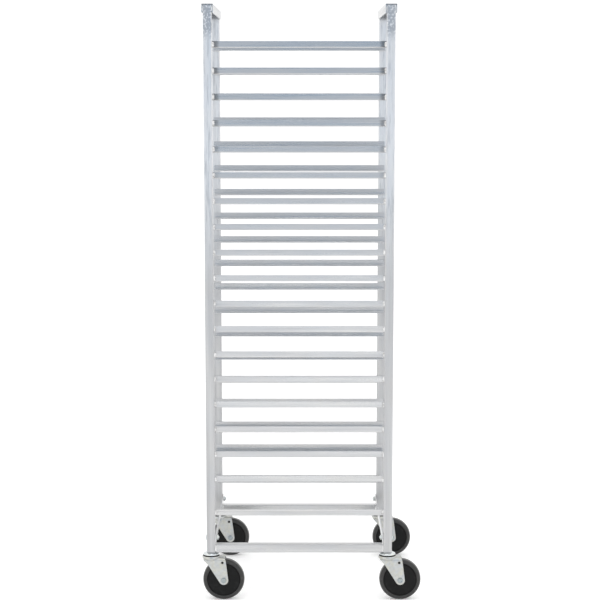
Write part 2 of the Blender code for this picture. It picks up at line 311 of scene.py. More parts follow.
def mix_colour(tree, factor, a, b, blend="MIX"):
    """Mix of two colours; each is an output or an (r, g, b)."""
    node = tree.nodes.new("ShaderNodeMix")
    node.data_type = "RGBA"
    node.blend_type = blend
    for socket, value in (("Factor", factor), ("A", a), ("B", b)):
        if isinstance(value, (int, float)):
            node.inputs[socket].default_value = value
        elif isinstance(value, tuple):
            node.inputs[socket].default_value = (*value, 1.0)
        else:
            tree.links.new(value, node.inputs[socket])
    return node.outputs["Result"]


def multiply(tree, a, b):
    return mix_colour(tree, 1.0, a, b, "MULTIPLY")


def bump(tree, height, strength, distance, normal=None):
    node = tree.nodes.new("ShaderNodeBump")
    node.inputs["Strength"].default_value = strength
    node.inputs["Distance"].default_value = distance
    tree.links.new(height, node.inputs["Height"])
    if normal is not None:
        tree.links.new(normal, node.inputs["Normal"])
    return node.outputs["Normal"]


def new_material(name, metallic):
    material = bpy.data.materials.new(name)
    material.use_nodes = True
    shader = material.node_tree.nodes["Principled BSDF"]
    shader.inputs["Metallic"].default_value = metallic
    return material, material.node_tree, shader


def along(tree, axis):
    """Coordinate in metres along one axis of the row frame."""
    coords = tree.nodes.new("ShaderNodeTexCoord")
    split = tree.nodes.new("ShaderNodeSeparateXYZ")
    tree.links.new(coords.outputs["Object"], split.inputs[0])
    return split.outputs[axis]


def beyond(tree, axis, middle, start, stop, wander=0.0):
    """0 up to start and 1 from stop on, by distance from a middle along one axis."""
    distance = math_node(tree, "ABSOLUTE", math_node(tree, "SUBTRACT", along(tree, axis), middle))
    if wander:
        drift = math_node(tree, "MULTIPLY", noise(tree, 240, detail=3.0), wander)
        distance = math_node(tree, "ADD", distance, drift)
    return ramp(tree, distance, FADE_IN, (start, stop))


def weld_shade_mask(tree, middle, reach):
    """Painted shade beside the welds, on the outer faces of the upper slides: a darker reflection
    painted into the colour.
    """
    ends = beyond(tree, "X", middle, reach - WELD_SHADE_STARTS, reach - WELD_SHADE_ENDS, wander=0.008)
    faces = beyond(tree, "Y", 0.0, *SLIDE_FACES)
    height = beyond(tree, "Z", 0.0, *WELD_SHADE_HEIGHTS)
    return multiply(tree, multiply(tree, ends, faces), height)


def web_end_mask(tree, end_y, top_z):
    """A darker band at the top of the channel web's cut face, at both of its ends."""
    ends = beyond(tree, "Y", 0.0, end_y - 0.0005, end_y - 0.0002)
    web = beyond(tree, "Z", 0.0, top_z - CHANNEL_WEB_END_BAND, top_z - CHANNEL_WEB_END_BAND + 0.0004)
    return multiply(tree, ends, web)


def streak_and_painted_mottle_mask(tree):
    """Long darker streaks high up on the uprights, and mottling at the front ones' tops: the
    mottling is painted reflection, dark patches standing for the reflections of a wavy surface.
    """
    faint = [(0, (0, 0, 0)), (1, grey(0.6))]
    streaks = ramp(tree, noise(tree, 150, (1, 1, 0.07), 5.0, 0.65), faint, (0.52, 0.66))
    streaks = multiply(tree, streaks, beyond(tree, "Z", 0.0, *STREAK_HEIGHTS))
    # Painted reflection: dark mottling at the front uprights' tops
    mottle = ramp(tree, noise(tree, 190, (1, 1, 0.7), 4.0, 0.6), FADE_IN, (0.41, 0.50))
    mottle = multiply(tree, mottle, beyond(tree, "Z", 0.0, *MOTTLE_HEIGHTS))
    front = ramp(tree, along(tree, "Y"), [(0, (1, 1, 1)), (1, (0, 0, 0))], FRONT_HALF)
    mottle = multiply(tree, mottle, front)
    return mix_colour(tree, 1.0, streaks, mottle, "LIGHTEN")


def shaded_below(low, high, share):
    """A factor of painted shade: darkens the metal's colour below one height and leaves it be
    above another.
    """
    def factor(tree):
        return ramp(tree, along(tree, "Z"), [(0, grey(share)), (1, (1, 1, 1))], (low, high))
    return factor


def lit_tops(tree):
    """A factor of painted light that brightens faces looking up."""
    geometry = tree.nodes.new("ShaderNodeNewGeometry")
    split = tree.nodes.new("ShaderNodeSeparateXYZ")
    tree.links.new(geometry.outputs["Normal"], split.inputs[0])
    return ramp(tree, split.outputs["Z"], [(0, (1, 1, 1)), (1, grey(1.28))], (0.6, 0.9))


# Painted light on the slides' faces looking up, and painted shade lower down
def slide_painted_shading(tree):
    return multiply(tree, lit_tops(tree), shaded_below(*SLIDE_SHADE_HEIGHTS, 0.91)(tree))


def brushed_aluminium(name, grain_axis, base, rough, wave=0.12, darkening=None, spread=0.0,
                      painted_shading=None):
    """Mill-finish aluminium with extrusion lines along one axis, smears and fine scratches.

    wave is the strength of a slow swell in the surface. darkening is a mask function and the
    shade
    it lays on: painted shade beside the slide welds, painted reflection at the uprights' tops,
    darker streaks and web ends. painted_shading is a function giving a factor of painted light
    and shade for the base colour. spread widens reflections sideways.
    """
    material, tree, shader = new_material(name, 1.0)
    shader.inputs["Anisotropic"].default_value = spread
    lines = noise(tree, 900, STRETCH[grain_axis], 3.0)
    broad = noise(tree, 110, STRETCH[grain_axis], 4.0)
    smears = noise(tree, 9, (1, 1, 1), 5.0, 0.6)
    scratch = noise(tree, 260, STRETCH[grain_axis], 8.0, 0.75)
    cool = (base[0] * 0.975, base[1] * 0.99, base[2] * 1.01)
    tinted = mix_colour(tree, ramp(tree, smears, FADE_IN, (0.35, 0.65)), base, cool)
    streaks = ramp(tree, broad, [(0, (0.90, 0.90, 0.91)), (1, grey(1.05))], (0.3, 0.7))
    scratches = ramp(tree, scratch, [(0, (0.80, 0.80, 0.81)), (0.35, (1, 1, 1)),
                                     (1, (1, 1, 1))], (0.28, 0.75))
    marked = multiply(tree, multiply(tree, tinted, streaks), scratches)
    if darkening:
        mask, shade = darkening
        marked = mix_colour(tree, mask(tree), marked, multiply(tree, marked, shade))
    if painted_shading:
        marked = multiply(tree, marked, painted_shading(tree))
    tree.links.new(marked, shader.inputs["Base Color"])
    rough_map = ramp(tree, broad, [(0, grey(rough + 0.10)), (1, grey(rough - 0.06))],
                     (0.3, 0.7))
    tree.links.new(rough_map, shader.inputs["Roughness"])
    normal = bump(tree, lines, 0.22, 0.0001)
    across = tuple(0.35 if axis == grain_axis else 1.0 for axis in "XYZ")
    swell = noise(tree, 16, across, 2.0)
    normal = bump(tree, swell, wave, 0.004, normal)
    tree.links.new(normal, shader.inputs["Normal"])
    return material


def weld_metal():
    """Pale oxide-dusted bead with darker pits."""
    material, tree, shader = new_material("weld_metal", 1.0)
    grain = noise(tree, 1400, detail=5.0)
    patches = noise(tree, 160, detail=4.0)
    colour = ramp(tree, patches, [(0, (0.42, 0.41, 0.40)), (0.5, grey(0.80)), (1, grey(0.93))],
                  (0.3, 0.7))
    tree.links.new(colour, shader.inputs["Base Color"])
    tree.links.new(ramp(tree, grain, [(0, grey(0.28)), (1, grey(0.6))], (0.3, 0.7)),
                   shader.inputs["Roughness"])
    tree.links.new(bump(tree, grain, 0.3, 0.0002), shader.inputs["Normal"])
    return material


def zinc_plate(name, base, rough, mottle, shade_band=None):
    """Zinc plate: a faint patchwork of cool and warm greys over pressed steel.

    shade_band is a pair of heights: the colour turns to a dark painted shade from one to the
    other.
    """
    material, tree, shader = new_material(name, 1.0)
    coords = tree.nodes.new("ShaderNodeTexCoord")
    cells = tree.nodes.new("ShaderNodeTexVoronoi")
    cells.inputs["Scale"].default_value = 170
    tree.links.new(coords.outputs["Object"], cells.inputs["Vector"])
    clouds = noise(tree, 70, detail=6.0, roughness=0.65)
    fine = noise(tree, 900, detail=4.0)
    cool = (base[0] * (1 - mottle), base[1] * (1 - mottle * 0.5), base[2])
    warm = (base[0] * (1 + mottle * 0.6), base[1] * (1 + mottle * 0.4), base[2] * (1 - mottle))
    tone = mix_colour(tree, ramp(tree, clouds, FADE_IN, (0.36, 0.64)), cool, warm)
    spangle = ramp(tree, cells.outputs["Color"], [(0, grey(0.88)), (1, grey(1.04))])
    colour = multiply(tree, tone, spangle)
    # Painted shade: the colour turns near-black past a height, for the shadowed gap between
    # raceway cap and boss
    if shade_band:
        in_shade = ramp(tree, along(tree, "Z"), FADE_IN, shade_band)
        colour = mix_colour(tree, in_shade, colour, (0.035, 0.034, 0.033))
    tree.links.new(colour, shader.inputs["Base Color"])
    tree.links.new(ramp(tree, clouds, [(0, grey(rough - 0.08)), (1, grey(rough + 0.12))],
                        (0.3, 0.7)), shader.inputs["Roughness"])
    normal = bump(tree, fine, 0.15, 0.0001)
    normal = bump(tree, clouds, 0.10, 0.0006, normal)
    tree.links.new(normal, shader.inputs["Normal"])
    return material


def moulded_black(name, base, rough, shine=0.3):
    """Moulded black polymer: soft sheen, fine mould grain, dusty scuffs."""
    material, tree, shader = new_material(name, 0.0)
    scuffs = noise(tree, 60, detail=8.0, roughness=0.7)
    grain = noise(tree, 1600, detail=3.0)
    dust = tuple(channel * 2.2 + 0.006 for channel in base)
    tree.links.new(mix_colour(tree, ramp(tree, scuffs, FADE_IN, (0.52, 0.75)), base, dust),
                   shader.inputs["Base Color"])
    tree.links.new(ramp(tree, scuffs, [(0, grey(rough - 0.06)), (1, grey(rough + 0.14))],
                        (0.35, 0.7)), shader.inputs["Roughness"])
    shader.inputs["Specular IOR Level"].default_value = shine
    tree.links.new(bump(tree, grain, 0.12, 0.0002), shader.inputs["Normal"])
    return material


# Mesh tools

def rounded_outline(corners, steps=4):
    """Points of a closed outline; each corner is (u, v, fillet radius)."""
    points = []
    count = len(corners)
    for i, (u, v, radius) in enumerate(corners):
        here = Vector((u, v))
        if radius <= 0:
            points.append((u, v))
            continue
        before = (Vector(corners[i - 1][:2]) - here).normalized()
        after = (Vector(corners[(i + 1) % count][:2]) - here).normalized()
        half = before.angle(after) / 2
        centre = here + (before + after).normalized() * radius / math.sin(half)
        start = here + before * radius / math.tan(half) - centre
        turn = start.angle_signed(here + after * radius / math.tan(half) - centre)
        for k in range(steps + 1):
            angle = math.atan2(start.y, start.x) - turn * k / steps
            points.append((centre.x + radius * math.cos(angle),
                           centre.y + radius * math.sin(angle)))
    return points


def rectangle(width, height, radius):
    u, v = width / 2, height / 2
    return [(-u, -v, radius), (u, -v, radius), (u, v, radius), (-u, v, radius)]


def circle_points(radius, segments):
    angles = [2 * math.pi * i / segments for i in range(segments)]
    return [(radius * math.cos(angle), radius * math.sin(angle)) for angle in angles]


def moved(points, u, v):
    """A profile carried to its place across the axis it is extruded along."""
    return [(u + point_u, v + point_v) for point_u, point_v in points]


def tube_profiles(size):
    """Outside and inside of a square tube with rolled corners."""
    bore = size - 2 * TUBE_WALL
    return (rounded_outline(rectangle(size, size, TUBE_CORNER)),
            rounded_outline(rectangle(bore, bore, TUBE_CORNER - TUBE_WALL / 2)))


def add_prism(bm, outer, low, high, axis, inner=None):
    """Extrude a profile along an axis; inner makes it a tube with the same point count."""
    def point(u, v, w):
        return {"X": Vector((w, u, v)), "Y": Vector((u, w, v)), "Z": Vector((u, v, w))}[axis]

    def ring(profile, w):
        return [bm.verts.new(point(u, v, w)) for u, v in profile]

    def wall(a, b):
        for i in range(len(a)):
            j = (i + 1) % len(a)
            bm.faces.new((a[i], a[j], b[j], b[i]))

    outer_low, outer_high = ring(outer, low), ring(outer, high)
    wall(outer_low, outer_high)
    if inner is None:
        bm.faces.new(outer_low)
        bm.faces.new(outer_high)
    else:
        inner_low, inner_high = ring(inner, low), ring(inner, high)
        wall(inner_low, inner_high)
        wall(outer_low, inner_low)
        wall(outer_high, inner_high)


def add_turned(bm, profile, segments, axis, centre):
    """Turn (radius, place) points; ends at radius 0 close it, else it becomes a ring."""
    solid = profile[0][0] == 0
    middle = Vector(centre)

    def point(radius, place, angle):
        u, v = radius * math.cos(angle), radius * math.sin(angle)
        return middle + {"X": Vector((place, u, v)), "Y": Vector((u, place, v)),
                         "Z": Vector((u, v, place))}[axis]

    rings = []
    for radius, place in profile:
        if radius == 0:
            rings.append([bm.verts.new(point(0, place, 0))] * segments)
        else:
            rings.append([bm.verts.new(point(radius, place, 2 * math.pi * i / segments))
                          for i in range(segments)])
    pairs = list(zip(rings, rings[1:])) + ([] if solid else [(rings[-1], rings[0])])
    for a, b in pairs:
        for i in range(segments):
            j = (i + 1) % segments
            bm.faces.new(list(dict.fromkeys((a[i], a[j], b[j], b[i]))))


def mesh_from(bm, name):
    bmesh.ops.recalc_face_normals(bm, faces=bm.faces)
    mesh = bpy.data.meshes.new(name)
    bm.to_mesh(mesh)
    bm.free()
    return mesh


def turned_mesh(profile, segments, axis, centre):
    bm = bmesh.new()
    add_turned(bm, profile, segments, axis, centre)
    return mesh_from(bm, "turned")


def prism_mesh(outer, low, high, axis, inner=None):
    bm = bmesh.new()
    add_prism(bm, outer, low, high, axis, inner)
    return mesh_from(bm, "prism")


def rod_profile(radius, low, high):
    return [(0, low), (radius, low), (radius, high), (0, high)]


def boolean(mesh, tool, operation):
    base = bpy.data.objects.new("boolean_base", mesh)
    cutter = bpy.data.objects.new("boolean_tool", tool)
    for thing in (base, cutter):
        bpy.context.scene.collection.objects.link(thing)
    modifier = base.modifiers.new("boolean", "BOOLEAN")
    modifier.operation = operation
    modifier.object = cutter
    graph = bpy.context.evaluated_depsgraph_get()
    result = bpy.data.meshes.new_from_object(base.evaluated_get(graph))
    for thing in (base, cutter):
        bpy.data.objects.remove(thing, do_unlink=True)
    return result


def make_piece(name, mesh, material, body="root", stands_for=(), edge=0.0, sharp=32):
    """A finished piece in the row frame: shaded, edges broken, riding on its body."""
    mesh.shade_smooth()
    mesh.set_sharp_from_angle(angle=math.radians(sharp))
    mesh.materials.clear()
    mesh.materials.append(material)
    piece = bpy.data.objects.new(name, mesh)
    bpy.context.scene.collection.objects.link(piece)
    if edge > 0:
        bevel = piece.modifiers.new("edge_break", "BEVEL")
        bevel.width = edge
        bevel.segments = 2
        bevel.limit_method = "ANGLE"
        bevel.angle_limit = math.radians(50)
        bevel.harden_normals = True
    weighted = piece.modifiers.new("flat_faces", "WEIGHTED_NORMAL")
    weighted.keep_sharp = True
    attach(piece, body)
    if stands_for:
        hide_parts(*stands_for)
    return piece


# Frame pieces

def drill(mesh, axis_points, reach):
    """Cut bolt holes along X through the given (x, y, z) points."""
    bm = bmesh.new()
    for x, y, z in axis_points:
        add_turned(bm, rod_profile(BOLT_HOLE_RADIUS, -reach, reach), 24, "X", (x, y, z))
    return boolean(mesh, mesh_from(bm, "drill"), "DIFFERENCE")


def bolt_height():
    low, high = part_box("bottom_brace_left")
    return (low.z + high.z) / 2


def tube_centre(end, side):
    low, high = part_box(f"upright_{end}_{side}")
    return (low + high) / 2


def build_uprights(material):
    for end in ENDS:
        for side in SIDES:
            node = f"upright_{end}_{side}"
            low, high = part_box(node)
            centre = tube_centre(end, side)
            size = high.x - low.x
            outer, inner = (moved(profile, centre.x, centre.y) for profile in tube_profiles(size))
            mesh = drill(prism_mesh(outer, low.z, high.z, "Z", inner),
                         [(centre.x, centre.y, bolt_height())], size)
            make_piece(f"tube_{end}_{side}", mesh, material, stands_for=(node,))


def build_bottom_rails(material):
    for end in ENDS:
        node = f"bottom_rail_{end}"
        low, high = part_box(node)
        centre = (low + high) / 2
        outer, inner = (moved(profile, centre.y, centre.z)
                        for profile in tube_profiles(high.z - low.z))
        make_piece(f"rail_{end}", prism_mesh(outer, low.x, high.x, "X", inner), material,
                   stands_for=(node,))


def build_top_channels(material):
    for side in SIDES:
        node = f"top_channel_{side}"
        low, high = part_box(node)
        wall, soft = CHANNEL_WALL, CHANNEL_CORNER
        corners = [(low.x, low.z, soft / 2), (low.x + wall, low.z, soft / 2),
                   (low.x + wall, high.z - wall, soft), (high.x - wall, high.z - wall, soft),
                   (high.x - wall, low.z, soft / 2), (high.x, low.z, soft / 2),
                   (high.x, high.z, soft), (low.x, high.z, soft)]
        mesh = prism_mesh(rounded_outline(corners, 3), low.y, high.y, "Y")
        make_piece(f"channel_{side}", mesh, material, stands_for=(node,))


def build_bottom_braces(material):
    for side in SIDES:
        node = f"bottom_brace_{side}"
        low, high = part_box(node)
        middle = (low + high) / 2
        outline = rounded_outline(rectangle(high.x - low.x, high.z - low.z, CHANNEL_CORNER), 3)
        bar = prism_mesh(moved(outline, middle.x, middle.z), low.y, high.y, "Y")
        holes = [(middle.x, tube_centre(end, side).y, middle.z) for end in ENDS]
        mesh = drill(bar, holes, high.x - low.x)
        make_piece(f"brace_{side}", mesh, material, stands_for=(node,))


def build_slides(material):
    """Bent angles: flange against the uprights, ledge along the bottom edge pointing in."""
    for end in ENDS:
        for level in range(1, SLIDE_LEVELS + 1):
            node = f"slide_{end}_{level:02d}"
            low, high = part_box(node)
            sheet = SLIDE_SHEET
            back, tip, inwards = ((low.y, high.y, 1) if end == "front" else
                                  (high.y, low.y, -1))
            inside = back + inwards * sheet
            corners = [(back, high.z, sheet * 0.2), (back, low.z, sheet * 1.3),
                       (tip, low.z, sheet * 0.3), (tip, low.z + sheet, sheet * 0.3),
                       (inside, low.z + sheet, sheet * 0.6), (inside, high.z, sheet * 0.2)]
            mesh = prism_mesh(rounded_outline(corners), low.x, high.x, "X")
            make_piece(f"pan_slide_{end}_{level:02d}", mesh, material,
                       stands_for=(node,))


def add_weld(bm, corner, run, u, v, length, size, rng):
    """A fillet bead in a corner: quarter-round sections with ripples, tapered at both ends."""
    slices, arc = 12, 5
    sections = []
    for i in range(slices + 1):
        t = i / slices
        taper = math.sqrt(max(0.0, 1 - (2 * t - 1) ** 4)) * 0.94 + 0.06
        ripple = 1 + 0.07 * math.sin(t * math.pi * 9) + rng.uniform(-0.05, 0.05)
        radius = size * taper * ripple
        base = corner + run * (length * (t - 0.5))
        section = [bm.verts.new(base)]
        for k in range(arc + 1):
            angle = math.pi / 2 * k / arc
            section.append(bm.verts.new(base + (u * math.cos(angle) + v * math.sin(angle))
                                        * radius * (1 - 0.16 * math.sin(2 * angle))))
        sections.append(section)
    for a, b in zip(sections, sections[1:]):
        for k in range(len(a)):
            j = (k + 1) % len(a)
            bm.faces.new((a[k], a[j], b[j], b[k]))
    bm.faces.new(sections[0])
    bm.faces.new(sections[-1])


def build_welds(material):
    """Beads where each slide and bottom rail meets an upright, one object per upright."""
    rng = random.Random(7)
    up = Vector((0, 0, 1))
    for end in ENDS:
        outwards = Vector((0, -1 if end == "front" else 1, 0))
        for side in SIDES:
            low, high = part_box(f"upright_{end}_{side}")
            inner_x = high.x if side == "left" else low.x
            towards = Vector((1 if side == "left" else -1, 0, 0))
            bm = bmesh.new()
            for level in range(1, SLIDE_LEVELS + 1):
                slide_low, slide_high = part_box(f"slide_{end}_{level:02d}")
                face = slide_low.y if end == "front" else slide_high.y
                middle = (slide_low.z + slide_high.z) / 2 + rng.uniform(-0.0008, 0.0008)
                add_weld(bm, Vector((inner_x, face, middle)), up, towards, outwards,
                         WELD_LENGTH * rng.uniform(0.93, 1.04), WELD_SIZE, rng)
            rail_low, rail_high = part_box(f"bottom_rail_{end}")
            middle = (rail_low + rail_high) / 2
            seams = [(Vector((inner_x, middle.y, rail_high.z)), Vector((0, 1, 0)), up)]
            for face, away in ((rail_low.y, -1), (rail_high.y, 1)):
                seams.append((Vector((inner_x, face, middle.z)), up, Vector((0, away, 0))))
            for corner, run, away in seams:
                add_weld(bm, corner - away * RAIL_WELD_INSET, run, towards, away,
                         (rail_high.z - rail_low.z) * 0.86, WELD_SIZE * 0.75, rng)
            add_channel_welds(bm, end, side, rng)
            make_piece(f"welds_{end}_{side}", mesh_from(bm, "welds"), material,
                       sharp=60)


def add_channel_welds(bm, end, side, rng):
    """Upright beads in the slots between the top channel's two flanges and the upright."""
    low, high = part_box(f"upright_{end}_{side}")
    channel_low, channel_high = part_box(f"top_channel_{side}")
    face = channel_low.y if end == "front" else channel_high.y
    outwards = Vector((0, -1 if end == "front" else 1, 0))
    height = (channel_low.z + high.z) / 2
    for edge, flange, away in ((low.x, channel_low.x, -1), (high.x, channel_high.x, 1)):
        middle = (edge + flange - away * CHANNEL_WALL) / 2
        for turn in (-1, 1):
            add_weld(bm, Vector((middle, face, height)) - outwards * CHANNEL_WELD_SIZE,
                     Vector((0, 0, 1)), Vector((turn, 0, 0)), outwards,
                     CHANNEL_WELD_LENGTH * rng.uniform(0.95, 1.02), CHANNEL_WELD_SIZE, rng)


def hexagon_ring(radius, hole):
    """Matching outer hexagon and round hole, with the same number of points."""
    outer, inner = [], []
    for i in range(HEXAGON_POINTS):
        angle = 2 * math.pi * i / HEXAGON_POINTS
        within = (angle + math.pi / 6) % (math.pi / 3) - math.pi / 6
        reach = radius * math.cos(math.pi / 6) / math.cos(math.pi / 6 - abs(within))
        outer.append((reach * math.cos(angle), reach * math.sin(angle)))
        inner.append((hole * math.cos(angle), hole * math.sin(angle)))
    return outer, inner


def nut_mesh(radius, bore, place, low, high, axis):
    """Hexagon nut with a bore just over its thread; place is across the axis."""
    outer, inner = (moved(ring, *place) for ring in hexagon_ring(radius, bore + THREAD_PLAY))
    return prism_mesh(outer, low, high, axis, inner)


def build_frame_bolts(steel):
    """A round-headed bolt outside and a nut inside, through each upright and its brace."""
    for end in ENDS:
        for side in SIDES:
            centre = tube_centre(end, side)
            outwards = -1 if side == "left" else 1
            low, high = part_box(f"upright_{end}_{side}")
            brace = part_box(f"bottom_brace_{side}")
            head_seat = low.x if side == "left" else high.x
            nut_seat = brace[1].x if side == "left" else brace[0].x
            build_bolt(f"{end}_{side}", steel, centre.y, bolt_height(),
                       head_seat + outwards * CONTACT, nut_seat - outwards * CONTACT, outwards)


def build_bolt(name, steel, y, z, head, nut, outwards):
    """Domed bolt from its head's seat to past the nut, and the nut; seats are places on X."""
    tip = nut - outwards * (NUT_HEIGHT + BOLT_STICKS_OUT)
    crown = [(BOLT_HEAD_RADIUS * math.cos(a * math.pi / 12),
              head + outwards * BOLT_HEAD_HEIGHT * math.sin(a * math.pi / 12) ** 0.8)
             for a in range(1, 6)]
    profile = [(0, tip), (BOLT_RADIUS * 0.75, tip),
               (BOLT_RADIUS, tip + outwards * BOLT_RADIUS * 0.25), (BOLT_RADIUS, head),
               (BOLT_HEAD_RADIUS * 0.97, head),
               (BOLT_HEAD_RADIUS, head + outwards * 0.0004), *crown,
               (0, head + outwards * BOLT_HEAD_HEIGHT)]
    make_piece(f"bolt_{name}", turned_mesh(profile, 32, "X", (0, y, z)), steel)
    mesh = nut_mesh(NUT_RADIUS, BOLT_RADIUS, (y, z), nut, nut - outwards * NUT_HEIGHT, "X")
    make_piece(f"nut_{name}", mesh, steel, edge=NUT_EDGE)


# Caster pieces, all in the row frame

def cap_profile():
    """Outside and inside of the fixed raceway cap, with a rolled lower lip."""
    lip, crown = CAP_BOTTOM, CAP_TOP - CONTACT
    outside = [(0.0165, crown), (0.0180, crown - 0.0004), (0.0205, 0.1438),
               (0.0226, 0.1428), (0.0236, 0.1420), (CAP_RADIUS, 0.1410),
               (CAP_RADIUS, lip + 0.0006), (CAP_RADIUS - 0.0004, lip + 0.0001)]
    inside = [(CAP_RADIUS - 0.0013, lip), (CAP_RADIUS - 0.0018, lip + 0.0006),
              (CAP_RADIUS - 0.0026, 0.1402), (0.0200, 0.1412), (BALL_TRACK, 0.1415),
              (0.0148, 0.1411), (STEM_RADIUS + 0.0002, 0.1411), (STEM_RADIUS + 0.0002, crown)]
    return outside + inside


def build_stem(name, axis, looks):
    """Raceway cap, headed pin, and the plug in the tube: a sleeve squeezed by a nut."""
    make_piece(f"{name}_raceway_cap", turned_mesh(cap_profile(), 72, "Z", axis), looks.cap,
               stands_for=(f"{name}_stem",))
    low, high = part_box(f"{name}_stem")
    pin = [(0, low.z), (0.0068, low.z + 0.0003), (0.0085, low.z + 0.0014),
           (0.0090, BOSS_INSIDE - 0.0004), (0.0088, BOSS_INSIDE), (STEM_RADIUS, BOSS_INSIDE),
           (STEM_RADIUS, high.z - 0.001), (STEM_RADIUS - 0.001, high.z), (0, high.z)]
    make_piece(f"{name}_pin", turned_mesh(pin, 40, "Z", axis), looks.steel)
    bottom, top = CAP_TOP + 0.0005, high.z - 0.007
    bore = STEM_RADIUS + BORE_PLAY
    sleeve = [(bore, bottom), (PLUG_RADIUS - 0.0008, bottom), (PLUG_RADIUS, bottom + 0.001),
              (PLUG_RADIUS, top - 0.001), (PLUG_RADIUS - 0.0008, top), (bore, top)]
    make_piece(f"{name}_sleeve", turned_mesh(sleeve, 40, "Z", axis), looks.plug)
    nut = nut_mesh(PLUG_NUT_RADIUS, STEM_RADIUS, (axis.x, axis.y), top + 0.0002,
                   high.z - 0.0015, "Z")
    make_piece(f"{name}_stem_nut", nut, looks.steel, edge=NUT_EDGE)


def tangent_angle(point, centre, radius, side):
    """Where a line from a point touches a circle, on the given side of the centre line."""
    dx, dz = point[0] - centre[0], point[1] - centre[1]
    return math.atan2(dz, dx) + side * math.acos(radius / math.hypot(dx, dz))


def fork_side_outline(trail, axle_height):
    """Side view of the fork, X from the swivel axis: shoulders, knee, round axle end."""
    radius = FORK_END_RADIUS
    axle = (trail, axle_height)
    start = tangent_angle(FORK_KNEE, axle, radius, 1) - 2 * math.pi
    stop = tangent_angle(FORK_FRONT, axle, radius, -1)
    while start > stop:
        start -= 2 * math.pi
    steps = 20
    angles = [start + (stop - start) * i / steps for i in range(steps + 1)]
    arc = [(axle[0] + radius * math.cos(angle), axle[1] + radius * math.sin(angle))
           for angle in angles]
    top = FORK_TOP + 0.001
    corners = [(FORK_PLATE_END, top, 0.0), (-0.0262, top, 0.0), (-0.0260, 0.1302, 0.0),
               (*FORK_REAR, 0.006), (*FORK_KNEE, 0.03), (*arc[0], 0.0), (*arc[-1], 0.0),
               (*FORK_FRONT, 0.012)]
    points = rounded_outline(corners)
    cut = next(i for i, p in enumerate(points) if (Vector(p) - Vector(arc[0])).length < 1e-9)
    return points[:cut] + arc[:-1] + points[cut + 1:]


def round_head_trim(axis, top):
    """What lies outside the round head, over the back half of the fork's plate."""
    reach, depth = 0.05, 0.0048
    block = moved([(-reach, -reach), (0, -reach), (0, reach), (-reach, reach)], axis.x, axis.y)
    disc = turned_mesh(rod_profile(HEAD_RADIUS, top - 0.02, top + 0.02), 72, "Z", axis)
    return boolean(prism_mesh(block, top - depth, top + 0.01, "Z"), disc, "DIFFERENCE")


def boss_profile():
    """The raised round boss, with the balls' groove around its top."""
    groove = 0.0022
    return [(0, 0.1215), (0.0220, 0.1215), (0.0240, 0.1246), (0.0262, 0.1276),
            (HEAD_RADIUS, 0.1298), (HEAD_RADIUS, 0.1312), (0.0267, 0.1324), (0.0264, 0.1343),
            (0.0257, 0.1354), (0.0246, 0.1360), (0.0230, BOSS_TOP), (0.0212, 0.1358),
            (BALL_TRACK + groove, 0.1354), (BALL_TRACK, BALL_SEAT),
            (BALL_TRACK - groove, 0.1354), (0.0125, 0.1358), (0, 0.1358)]


def fork_mesh(axis, trail, axle_height):
    """Pressed yoke: a U of sheet trimmed to the side outline, with a raised round boss."""
    half, sheet, top = LEG_HALF_WIDTH, FORK_SHEET, FORK_TOP
    bottom = axle_height - 0.02
    section = [(-half, bottom, 0), (-half + sheet, bottom, 0),
               (-half + sheet, top - sheet, FORK_BEND - sheet),
               (half - sheet, top - sheet, FORK_BEND - sheet), (half - sheet, bottom, 0),
               (half, bottom, 0), (half, top, FORK_BEND), (-half, top, FORK_BEND)]
    bent = prism_mesh(moved(rounded_outline(section, 8), axis.y, 0), axis.x - 0.032,
                      axis.x + 0.062, "X")
    outline = moved(fork_side_outline(trail, axle_height), axis.x, 0)
    shape = boolean(bent, prism_mesh(outline, axis.y - 0.04, axis.y + 0.04, "Y"), "INTERSECT")
    shape = boolean(shape, round_head_trim(axis, top), "DIFFERENCE")
    shape = boolean(shape, turned_mesh(boss_profile(), 72, "Z", axis), "UNION")
    inner, through = half - sheet - BORE_PLAY, half + 0.01
    hub = (axis.x + trail, axis.y, axle_height)
    side_hole = (axis.x + FORK_HOLE[0], axis.y, FORK_HOLE[1])
    hollow_boss = rod_profile(inner, 0.10, BOSS_INSIDE)
    wheel_room = rod_profile(axle_height + 0.002, -inner, inner)
    stem_bore = rod_profile(STEM_RADIUS + 0.0006, 0.13, 0.14)
    cuts = [(hollow_boss, 72, "Z", axis), (wheel_room, 96, "Y", hub), (stem_bore, 40, "Z", axis),
            (rod_profile(FORK_HOLE_RADIUS, -through, through), 32, "Y", side_hole),
            (rod_profile(AXLE_RADIUS + BORE_PLAY, -through, through), 32, "Y", hub)]
    for cut in cuts:
        shape = boolean(shape, turned_mesh(*cut), "DIFFERENCE")
    return shape


def build_balls(name, axis, steel, body):
    bm = bmesh.new()
    height = BALL_SEAT + BALL_RADIUS
    for i in range(BALL_COUNT):
        angle = 2 * math.pi * i / BALL_COUNT
        place = Vector((axis.x + BALL_TRACK * math.cos(angle),
                        axis.y + BALL_TRACK * math.sin(angle), height))
        ball = bmesh.ops.create_icosphere(bm, subdivisions=2, radius=BALL_RADIUS)
        bmesh.ops.translate(bm, verts=ball["verts"], vec=place)
    make_piece(f"{name}_balls", mesh_from(bm, "balls"), steel, body, sharp=80)


